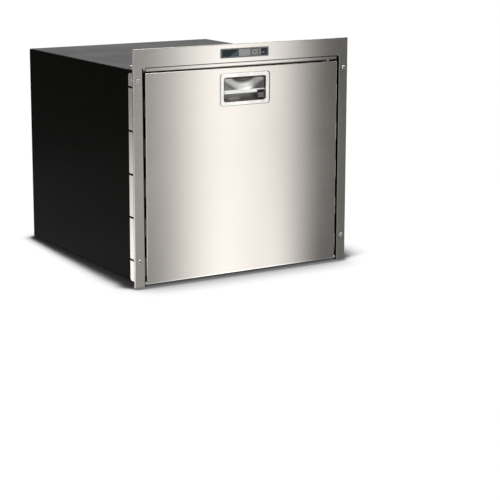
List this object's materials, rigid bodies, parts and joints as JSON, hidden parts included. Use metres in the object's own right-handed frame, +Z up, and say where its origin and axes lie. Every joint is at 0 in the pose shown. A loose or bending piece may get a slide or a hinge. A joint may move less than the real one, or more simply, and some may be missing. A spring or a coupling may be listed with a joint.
{
  "type": "compact drawer freezer",
  "caption": "Built-in compact freezer with a stainless pull-out drawer front, flush paddle latch, three-sided fixing frame, black casing and rear cooling unit.",
  "frame": {"origin": "centre of the overall box at the level of the foot pads' undersides", "axes": "+X to the right seen from the front, +Y to the back, +Z up; the drawer front faces -Y"},
  "size_m": [0.592, 0.643, 0.558],
  "materials": {
    "stainless": "vertically lit brushed stainless sheet",
    "screw_steel": "bright plated steel",
    "casing_black": "satin black powder coat",
    "galvanised": "galvanised sheet",
    "foam": "rigid polyurethane foam",
    "liner_white": "moulded white lining",
    "gasket_grey": "soft grey seal",
    "latch_chrome": "satin chrome plating",
    "lock_black": "black moulded plastic",
    "control_grey": "dark grey moulding",
    "dark_window": "smoked glossy window",
    "plate_grey": "satin bare plate",
    "button_grey": "light grey keys",
    "board_green": "circuit board",
    "aluminium": "mill aluminium",
    "copper": "bare copper",
    "compressor_black": "gloss black paint",
    "runner_zinc": "zinc plated steel",
    "bracket_white": "white powder coat",
    "bin_white": "moulded storage bin",
    "fan_black": "black moulded plastic",
    "rubber_black": "black rubber"
  },
  "bodies": {
    "cabinet": {"front_frame": "stainless", "side_flange_left": "stainless", "side_flange_right": "stainless", "frame_screws": "screw_steel", "outer_casing": "casing_black", "casing_screws": "screw_steel", "base_pan": "galvanised", "back_panel": "casing_black", "back_panel_screws": "screw_steel", "cable_gland": "rubber_black", "feet": "rubber_black", "inner_liner": "liner_white", "insulation_foam": "foam", "control_housing": "control_grey", "control_board": "board_green", "control_cover": "lock_black", "display_window": "dark_window", "panel_plate": "plate_grey", "status_window": "dark_window", "cabinet_rail_left": "runner_zinc", "cabinet_rail_right": "runner_zinc", "evaporator_plate": "aluminium", "temperature_probe": "copper", "compressor_mount": "galvanised", "compressor_grommets": "rubber_black", "compressor_lower_shell": "compressor_black", "compressor_upper_shell": "compressor_black", "compressor_controller": "aluminium", "suction_pipe": "copper", "discharge_pipe": "copper", "liquid_pipe": "copper", "filter_drier": "copper", "capillary_tube": "copper", "condenser_coil": "copper", "condenser_fins": "aluminium", "fan_shroud": "fan_black", "fan_motor": "fan_black"},
    "mid_rails": {"mid_rail_left": "runner_zinc", "mid_rail_right": "runner_zinc"},
    "drawer": {"door_skin": "stainless", "door_foam": "foam", "door_inner_panel": "liner_white", "bracket_screws": "screw_steel", "door_gasket": "gasket_grey", "corner_guides": "stainless", "latch_cup": "latch_chrome", "paddle_pin": "screw_steel", "drawer_rail_left": "runner_zinc", "drawer_rail_right": "runner_zinc", "drawer_bracket_left": "bracket_white", "drawer_bracket_right": "bracket_white", "drawer_bin": "bin_white"},
    "paddle": {"latch_paddle": "latch_chrome"},
    "bolt": {"latch_bolt": "screw_steel"},
    "lock": {"lock_slider": "lock_black"},
    "set_key": {"set_button": "button_grey"},
    "up_key": {"up_button": "button_grey"},
    "down_key": {"down_button": "button_grey"},
    "fan": {"fan_rotor": "fan_black"}
  },
  "joints": [
    {"name": "drawer_slide", "type": "slide", "parent": "cabinet", "child": "drawer", "axis": [0, -1, 0], "range_m": [0, 0.36]},
    {"name": "mid_rail_slide", "type": "slide", "parent": "cabinet", "child": "mid_rails", "axis": [0, -1, 0], "range_m": [0, 0.18]},
    {"name": "paddle_hinge", "type": "hinge", "parent": "drawer", "child": "paddle", "pos_m": [0, -0.3045, 0.474], "axis": [-1, 0, 0], "range_deg": [0, 16], "stiffness_Nm_per_rad": 0.5},
    {"name": "bolt_slide", "type": "slide", "parent": "drawer", "child": "bolt", "axis": [0, 0, -1], "range_m": [0, 0.00433]},
    {"name": "lock_slide", "type": "slide", "parent": "drawer", "child": "lock", "axis": [0, 0, 1], "range_m": [0, 0.007]},
    {"name": "set_press", "type": "slide", "parent": "cabinet", "child": "set_key", "axis": [0, 1, 0], "range_m": [0, 0.0008], "stiffness_N_per_m": 600},
    {"name": "up_press", "type": "slide", "parent": "cabinet", "child": "up_key", "axis": [0, 1, 0], "range_m": [0, 0.0008], "stiffness_N_per_m": 600},
    {"name": "down_press", "type": "slide", "parent": "cabinet", "child": "down_key", "axis": [0, 1, 0], "range_m": [0, 0.0008], "stiffness_N_per_m": 600},
    {"name": "fan_spin", "type": "hinge", "parent": "cabinet", "child": "fan", "pos_m": [0.13, 0.2389, 0.0695], "axis": [0, 1, 0], "continuous": true}
  ],
  "couplings": [
    {"joint": "mid_rail_slide", "follows": "drawer_slide", "ratio": 0.5},
    {"joint": "bolt_slide", "follows": "paddle_hinge", "m_per_rad": 0.0155}
  ]
}
